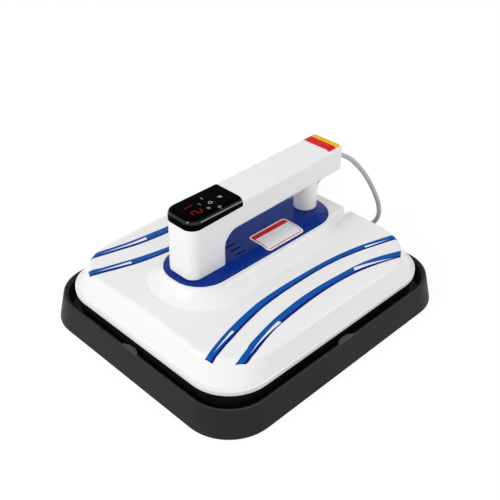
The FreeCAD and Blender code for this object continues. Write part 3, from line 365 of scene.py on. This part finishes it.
def wedgePatch(left, right, tip, end):
    middle = [a.lerp(b, 0.5) for a, b in zip(left, right)]

    def shareAt(y):
        return min(range(len(middle)), key=lambda n: abs(middle[n].y - y)) / (len(middle) - 1)
    u0, u1 = shareAt(tip[0]), shareAt(end[0])

    def place(u, v):
        share = tip[1] + (end[1] + (end[2] - end[1]) * v - tip[1]) * max(u, bluntTip)
        at = u0 + (u1 - u0) * u
        return sampleLine(left, at).lerp(sampleLine(right, at), share)
    return place


def makeBands():
    for name, band in bands.items():
        left, right = evenLine(band["left"]), evenLine(band["right"])
        field = (film["length"], film["width"], stripPatch(left, right, 0.0, 1 - darkLine))
        edge = (film["length"], film["lineWidth"], stripPatch(left, right, 1 - darkLine, 1.0))
        wedges = [(film["wedgeLength"], film["lineWidth"], wedgePatch(left, right, tip, end))
                  for tip, end in band["wedges"]]
        makeFilm(name, "upper_housing", "print_blue", [field])
        makeFilm(name + "Edge", "upper_housing", "print_blue", [edge], material=edgeBlue)
        makeFilm(name + "Wedges", "upper_housing", "print_white", wedges, lift=0.24, thickness=0.06)
    print("bands printed")


# the blank plate on the deck, in millimetres
plate = {"x": (2.6, 35.6), "y": (-2.0, 56.0), "radius": 4.6, "margin": 1.9, "line": 1.0, "head": 7.0,
         "fieldRadius": 0.6, "grid": (28, 120), "sheet": 0.08}


def roundedPatch(x0, x1, y0, y1, radius):
    # a grid laid in a rounded rectangle, row by row from the front
    def place(u, v):
        y = y0 + (y1 - y0) * v
        near = min(y - y0, y1 - y, radius)
        inset = radius - math.sqrt(max(radius ** 2 - (radius - near) ** 2, 0.0))
        return (x0 + inset + (x1 - x0 - 2 * inset) * u, y)
    return place


def makeBlankPlate():
    (x0, x1), (y0, y1) = plate["x"], plate["y"]
    m, t, r = plate["margin"], plate["line"], plate["radius"]
    sheets = [
        ("plateSheet", "print_white", (x0, x1, y0, y1, r), 0.10),
        ("plateFrame", "print_red", (x0 + m, x1 - m, y0 + m, y1 - m, r - m / 2), 0.22),
        ("plateField", "print_white", (x0 + m + plate["head"], x1 - m - t, y0 + m + t, y1 - m - t,
                                       plate["fieldRadius"]), 0.32),
    ]
    for name, slot, place, lift in sheets:
        patch = (*plate["grid"], roundedPatch(*place))
        makeFilm(name, "deck_cover", slot, [patch], lift=lift, thickness=plate["sheet"])
    print("blank plate made")


tipWidth = 0.08  # share of a bar's width that is left at its pointed ends


def barPatch(start, end, width, taper=0.12):
    # a flat bar with pointed ends
    start, end = Vector(start), Vector(end)
    side = Vector((start.y - end.y, end.x - start.x)).normalized() * width

    def place(u, v):
        full = min(1.0, tipWidth + min(u, 1 - u) / taper)
        return start.lerp(end, u) + side * (v - 0.5) * full
    return place


def ringPatch(x, y, outer, inner, start=0.0, sweep=360.0):
    def place(u, v):
        a = math.radians(start + sweep * u)
        r = inner + (outer - inner) * v
        return (x + r * math.cos(a), y + r * math.sin(a))
    return place


# the lit digits and the touch marks on the control cap, in millimetres
digits = {"value": "12", "first": -6.7, "gap": 16.1, "y": -80.3, "width": 6.2, "height": 11.6, "bar": 0.8,
          "taper": 0.16}
segments = {"1": "bc", "2": "abged"}
markFilm = {"lift": 0.04, "thickness": 0.04}
touchMarks = [
    ringPatch(5.6, -58.5, 2.4, 1.6),
    barPatch((-9.3, -59.6), (-4.0, -59.6), 0.7),
    barPatch((15.1, -56.8), (20.2, -56.8), 0.6),
    barPatch((17.7, -59.4), (17.7, -54.0), 0.6),
    barPatch((-1.6, -70.2), (0.2, -67.8), 0.5),
    barPatch((0.2, -67.8), (2.4, -69.2), 0.5),
    ringPatch(12.4, -66.8, 1.8, 1.2, 110, 300),
    barPatch((12.4, -67.2), (12.4, -64.2), 0.5),
    ringPatch(4.3, -43.6, 2.0, 0.6, 20, 320),
    barPatch((2.2, -46.2), (3.4, -44.6), 0.6),
]


def makeCapMarks():
    w, h = digits["width"] / 2, digits["height"] / 2
    ends = {
        "a": ((-w, h), (w, h)), "d": ((-w, -h), (w, -h)), "g": ((-w, 0), (w, 0)),
        "b": ((w, h), (w, 0)), "c": ((w, 0), (w, -h)), "e": ((-w, 0), (-w, -h)),
    }
    patches = []
    for n, figure in enumerate(digits["value"]):
        centre = Vector((digits["first"] + n * digits["gap"], digits["y"]))
        for letter in segments[figure]:
            start, end = (centre + Vector(p) for p in ends[letter])
            bar = barPatch(start, end, digits["bar"], digits["taper"])
            patches.append((film["barLength"], film["lineWidth"], bar))
    makeFilm("displayDigits", "control_cap", "print_red", patches, material=digitGlow, **markFilm)
    patches = [(film["markLength"], film["lineWidth"], place) for place in touchMarks]
    makeFilm("touchMarks", "control_cap", "print_white", patches, material=markGrey, **markFilm)
    print("cap marks made")


# two plain bands at the cord end of the handle, in millimetres
endBands = {"x": (-20.0, 20.0), "print_red": (108.9, 121.3), "print_yellow": (121.3, 129.2), "radius": 0.4,
            "grid": (40, 8)}


def makeEndBands():
    x0, x1 = endBands["x"]
    for slot in ("print_red", "print_yellow"):
        patch = (*endBands["grid"], roundedPatch(x0, x1, *endBands[slot], endBands["radius"]))
        makeFilm(slot.replace("print_", "endBand-"), "handle_cover", slot, [patch])
    print("end bands printed")


# the mains lead: the tube's own route, then the turns of the coil and the rise to the plug
lead = {
    "radius": 0.003,
    "length": 1.8,
    "exit": (0.0, 0.15203, 0.13712),
    "route": [
        (0.0, 0.17152, 0.12804),
        (0.0070, 0.1945, 0.1010),
        (0.0145, 0.2085, 0.0740),
        (0.0235, 0.2170, 0.0430),
        (0.0175, 0.2190, 0.0180),
        (-0.0030, 0.2155, 0.0038),
        (-0.0380, 0.2100, 0.0038),
        (-0.07253, 0.20513, 0.0040),
        (-0.10358, 0.19738, 0.0040),
    ],
    "coilCentre": (-0.146, 0.227),
    "entryBearing": -76.0,
    "layers": [(0.039, 0.004), (0.033, 0.004), (0.033, 0.010), (0.039, 0.010), (0.039, 0.016),
               (0.033, 0.016)],
    "pointsPerTurn": 16,
    "step": 3,  # points over which one layer climbs to the next
    "spread": 1.0196,  # how far the curve's points stand outside the curve
    # bearing, radius and height over the coil, up to the plug
    "rise": [(-98, 0.0340, 0.0185), (-122, 0.0355, 0.0215), (-148, 0.0360, 0.0222), (-174, 0.0362, 0.0222),
             (-200, 0.0366, 0.0222), (-220, 0.0380, 0.0225), (-236, 0.0405, 0.0235), (-254, 0.0455, 0.0252),
             (-271.7, 0.0478, 0.0270), (-289.4, 0.0464, 0.0283), (-307.3, 0.0424, 0.0290)],
    "roundness": 5,  # steps round the bevel, and along the curve between two points
    "smoothness": 8,
}


def coilPoints():
    cx, cy = lead["coilCentre"]
    per, step, layers = lead["pointsPerTurn"], lead["step"], lead["layers"]
    points = []
    for n in range(per * len(layers) + 1):
        turn = min(n // per, len(layers) - 1)
        radius, height = layers[turn]
        if turn + 1 < len(layers):
            share = max(0.0, (n % per - per + step) / step)
            radius += (layers[turn + 1][0] - radius) * share
            height += (layers[turn + 1][1] - height) * share
        a = math.radians(lead["entryBearing"] - 360 * n / per)
        radius *= lead["spread"]
        points.append((cx + radius * math.cos(a), cy + radius * math.sin(a), height))
    for bearing, radius, height in lead["rise"]:
        a = math.radians(bearing)
        points.append((cx + radius * math.cos(a), cy + radius * math.sin(a), height))
    return points


# where the plug lies on the coil
plug = {"bearing": 20.0, "turn": -160.0, "height": 0.020, "onRing": 0.036, "top": 0.019,
        "entry": (-0.0185, -0.0125)}


def plugPoint(along):
    # a point on the plug's middle line, so far from its centre towards the pins
    a, t = math.radians(plug["bearing"]), math.radians(plug["turn"] + 90)
    cx, cy = lead["coilCentre"]
    return (cx + plug["onRing"] * math.cos(a) + along * math.cos(t),
            cy + plug["onRing"] * math.sin(a) + along * math.sin(t), plug["top"] + plug["height"] / 2)


def makeLead():
    points = [lead["exit"]] + lead["route"] + coilPoints() + [plugPoint(along) for along in plug["entry"]]
    curve = bpy.data.curves.new("mainsLead", "CURVE")
    curve.dimensions = "3D"
    curve.bevel_depth = lead["radius"]
    curve.bevel_resolution = lead["roundness"]
    curve.resolution_u = lead["smoothness"]
    curve.use_fill_caps = True
    spline = curve.splines.new("NURBS")
    spline.points.add(len(points) - 1)
    for target, place in zip(spline.points, points):
        target.co = (*place, 1)
    spline.order_u = 3
    spline.use_endpoint_u = True
    piece = bpy.data.objects.new("mainsLead", curve)
    scene.collection.objects.link(piece)
    finishPiece(piece, "cord_grey")
    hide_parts("cord_tube", "cord_coil")
    print("lead laid")


studio = {
    "floorSize": 6.0,
    "floorColour": 0.86,
    "floorGlow": 0.82,  # share of plain white in what the camera and mirrors see of the floor
    "glowStrength": 1.06,
    "worldLight": 0.73,
    "lamps": {  # place, aim, size, power
        "keyLamp": ((-0.15, -1.8, 1.2), (0, 0, 0.05), 0.6, 16.4),
        "fillLamp": ((1.7, -0.7, 0.8), (0, 0, 0.05), 1.2, 1.6),
        "sideLamp": ((1.22, 0.85, 0.3), (0, 0, 0.1), 0.3, 2.4),
        "topLamp": ((0.1, 0.4, 2.2), (0, 0, 0.05), 1.5, 3.0),
    },
}


def seenShare(tree):
    # 1 for what the camera, mirrors and glass see, 0 for light on the object
    path = addNode(tree, "ShaderNodeLightPath").outputs
    seen = mathNode(tree, "MAXIMUM", path["Is Camera Ray"], path["Is Glossy Ray"])
    return mathNode(tree, "MAXIMUM", seen, path["Is Transmission Ray"])


def makeStudio():
    mesh = bmesh.new()
    bmesh.ops.create_grid(mesh, x_segments=1, y_segments=1, size=studio["floorSize"])
    data = bpy.data.meshes.new("studioFloor")
    mesh.to_mesh(data)
    mesh.free()
    floor = bpy.data.objects.new("studioFloor", data)
    scene.collection.objects.link(floor)
    material = bpy.data.materials.new("floorWhite")
    material.use_nodes = True
    tree = material.node_tree
    tree.nodes.clear()
    share = mathNode(tree, "MULTIPLY", seenShare(tree), studio["floorGlow"])
    white = addNode(tree, "ShaderNodeBsdfDiffuse", {"Color": (*[studio["floorColour"]] * 3, 1)}).outputs[0]
    glow = addNode(tree, "ShaderNodeEmission", {"Color": (1, 1, 1, 1), "Strength": studio["glowStrength"]})
    glow = glow.outputs[0]
    mix = addNode(tree, "ShaderNodeMixShader", {0: share, 1: white, 2: glow}).outputs[0]
    addNode(tree, "ShaderNodeOutputMaterial", {"Surface": mix})
    data.materials.append(material)

    world = bpy.data.worlds.new("studioWorld")
    scene.world = world
    world.use_nodes = True
    tree = world.node_tree
    tree.nodes.clear()
    strength = mapRange(tree, seenShare(tree), 0.0, 1.0, studio["worldLight"], 1.0)
    sky = addNode(tree, "ShaderNodeBackground", {"Color": (1, 1, 1, 1), "Strength": strength}).outputs[0]
    addNode(tree, "ShaderNodeOutputWorld", {"Surface": sky})

    for name, (place, aim, size, power) in studio["lamps"].items():
        light = bpy.data.lights.new(name, "AREA")
        light.size = size
        light.energy = power
        lamp = bpy.data.objects.new(name, light)
        lamp.location = place
        lamp.rotation_euler = (Vector(aim) - Vector(place)).to_track_quat("-Z", "Y").to_euler()
        scene.collection.objects.link(lamp)
    print("studio made")


view = {"azimuth": 45.2, "elevation": 34.8, "distance": 1.0503, "target": (-0.0724, 0.0760, 0.0),
        "lens": 58.92, "sensor": 36}


def makeCamera():
    azimuth, elevation = math.radians(view["azimuth"]), math.radians(view["elevation"])
    back = Vector((math.sin(azimuth) * math.cos(elevation), -math.cos(azimuth) * math.cos(elevation),
                   math.sin(elevation)))
    data = bpy.data.cameras.new("viewCamera")
    data.lens = view["lens"]
    data.sensor_width = view["sensor"]
    camera = bpy.data.objects.new("viewCamera", data)
    camera.location = Vector(view["target"]) + back * view["distance"]
    camera.rotation_euler = (math.pi / 2 - elevation, 0, azimuth)
    scene.collection.objects.link(camera)
    scene.camera = camera


dressNodes()
print("materials given")
makeStudio()
makeCamera()
scene.view_settings.view_transform = "Standard"
makeLead()
makeBands()
makeBlankPlate()
makeCapMarks()
makeEndBands()
